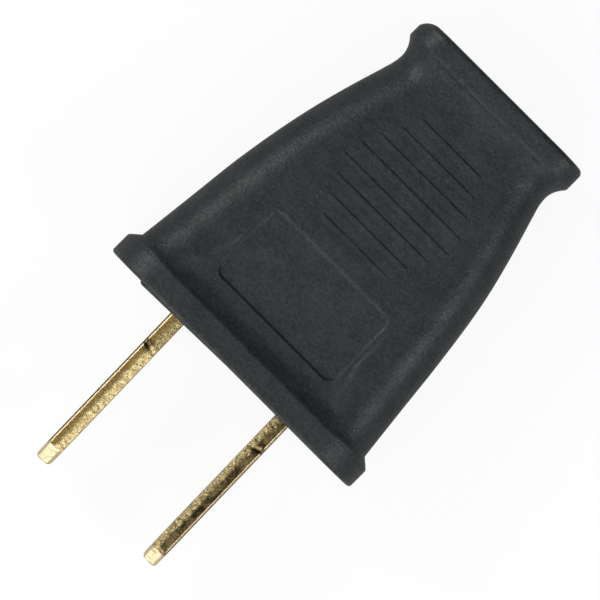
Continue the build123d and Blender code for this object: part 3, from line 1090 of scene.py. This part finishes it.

# %% [markdown]
# ## Put the pieces on their bodies
# The cover is one body and the core with its blades is the other, which slides out of it for wiring.
# Every piece rides on its body by name, so it follows when the joint moves. When a piece stands for a
# CAD node, that node is hidden.

# %% Ride on the bodies and hide the replaced CAD nodes
for piece, body, nodes, slot in (
    (cover_skin, "cover_body", ["cover"], "cover_vinyl"),
    (cover_grip_bars, "cover_body", [], "cover_vinyl"),
    (core_moulding, "core_body", ["core"], "core_plastic"),
    (brass_blade_left, "core_body", ["blade_left"], "blade_brass"),
    (brass_blade_right, "core_body", ["blade_right"], "blade_brass"),
):
    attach(piece, body)
    if nodes:
        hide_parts(*nodes)

# %% [markdown]
# ## Camera, light and floor
# The camera looks straight down on the broad face with a long lens, turned so that the blades point
# to the lower left. One large soft box in front lights the faces. Two small ones at the sides draw the
# shoulders' highlights, a low one lights what faces the way the blades point, and a weak one overhead
# fills in. The floor glows white to the camera, more weakly in reflections, and still takes a faint
# shadow. Past the floor the world is white too, but only to the camera.

# %% The camera, in millimetres
SENSOR_WIDTH = 36.0
CAMERA_DISTANCE = 500.0
VIEW_WIDTH = 51.84
VIEW_HEIGHT = 3.2
look_at = mathutils.Vector((0.04, 8.51, VIEW_HEIGHT)) * MM
camera_data = bpy.data.cameras.new("camera")
camera_data.sensor_width = SENSOR_WIDTH
camera_data.lens = SENSOR_WIDTH * CAMERA_DISTANCE / VIEW_WIDTH
camera_data.clip_start, camera_data.clip_end = 0.01, 10.0
camera = add_object("camera", camera_data)
camera.location = look_at + mathutils.Vector((0, 0, CAMERA_DISTANCE * MM))
camera.rotation_euler = (0, 0, math.radians(45))
scene.camera = camera
scene.view_settings.view_transform = "Standard"
print("lens, mm:", round(camera_data.lens, 1))


# %% Soft boxes, in metres and watts
def soft_box(name, direction, distance, width, height, power):
    lamp = bpy.data.lights.new(name, "AREA")
    lamp.shape = "RECTANGLE"
    lamp.size, lamp.size_y = width, height
    lamp.energy = power
    made = add_object(name, lamp)
    towards = mathutils.Vector(direction).normalized()
    made.location = mathutils.Vector((0, 0.012, 0)) + towards * distance
    made.rotation_euler = towards.to_track_quat("Z", "Y").to_euler()


soft_box("soft_box_main", (0.04, -0.7, 0.68), 0.8, 0.8, 0.8, 4.3)
soft_box("soft_box_left", (-0.81, 0.02, 0.58), 0.5, 0.17, 0.17, 1.05)
soft_box("soft_box_right", (0.81, 0.06, 0.58), 0.5, 0.17, 0.17, 0.78)
soft_box("soft_box_front", (0.0, -1.0, 0.13), 0.6, 0.5, 0.14, 0.6)
soft_box("soft_box_top", (0.0, 0.02, 1.0), 0.8, 0.4, 0.4, 0.22)


# %% The world's plain light
def mix_shaders(tree, share, first, second, output):
    shown = add_node(tree, "ShaderNodeMixShader", {0: share, 1: first, 2: second}).outputs[0]
    tree.links.new(shown, tree.nodes[output].inputs["Surface"])


world = bpy.data.worlds.new("plain light")
scene.world = world
world.use_nodes = True
tree = world.node_tree
ambient = tree.nodes["Background"]
ambient.inputs["Color"].default_value = (0.9, 0.95, 1.0, 1.0)
ambient.inputs["Strength"].default_value = 0.11
white = add_node(tree, "ShaderNodeBackground", {"Color": (1.0, 1.0, 1.0, 1.0), "Strength": 1.0})
to_camera = add_node(tree, "ShaderNodeLightPath").outputs["Is Camera Ray"]
mix_shaders(tree, to_camera, ambient.outputs[0], white.outputs[0], "World Output")

# %% The floor
FLOOR_SIZE = 3000.0
floor_z = -FLANGE_HALF_THICKNESS
floor_corners = [(side_x * FLOOR_SIZE, side_y * FLOOR_SIZE, floor_z)
                 for side_x, side_y in ((-1, -1), (1, -1), (1, 1), (-1, 1))]
floor = mesh_object("floor", floor_corners, [(0, 1, 2, 3)])
paper, tree, shader, place = start_material(
    "white_floor", Roughness=0.9, Base_Color=(0.42, 0.42, 0.42, 1.0))
rays = add_node(tree, "ShaderNodeLightPath").outputs
mirrored = math_node(tree, "MAXIMUM", rays["Is Glossy Ray"], rays["Is Transmission Ray"])
seen = math_node(tree, "MAXIMUM", rays["Is Camera Ray"], times(tree, mirrored, 0.2))
glow = add_node(tree, "ShaderNodeEmission", {"Strength": 1.2}).outputs[0]
mix_shaders(tree, times(tree, seen, 0.75), shader.outputs[0], glow, "Material Output")
floor.data.materials.append(paper)
floor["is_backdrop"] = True

# %% [markdown]
# ## Finish
# The visual model's box is printed, in millimetres.

# %% Print the visual model's box
visual_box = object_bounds()
for name, low, high in zip("XYZ", visual_box[0], visual_box[1]):
    print(name, "from", round(low / MM, 2), "to", round(high / MM, 2), "mm")
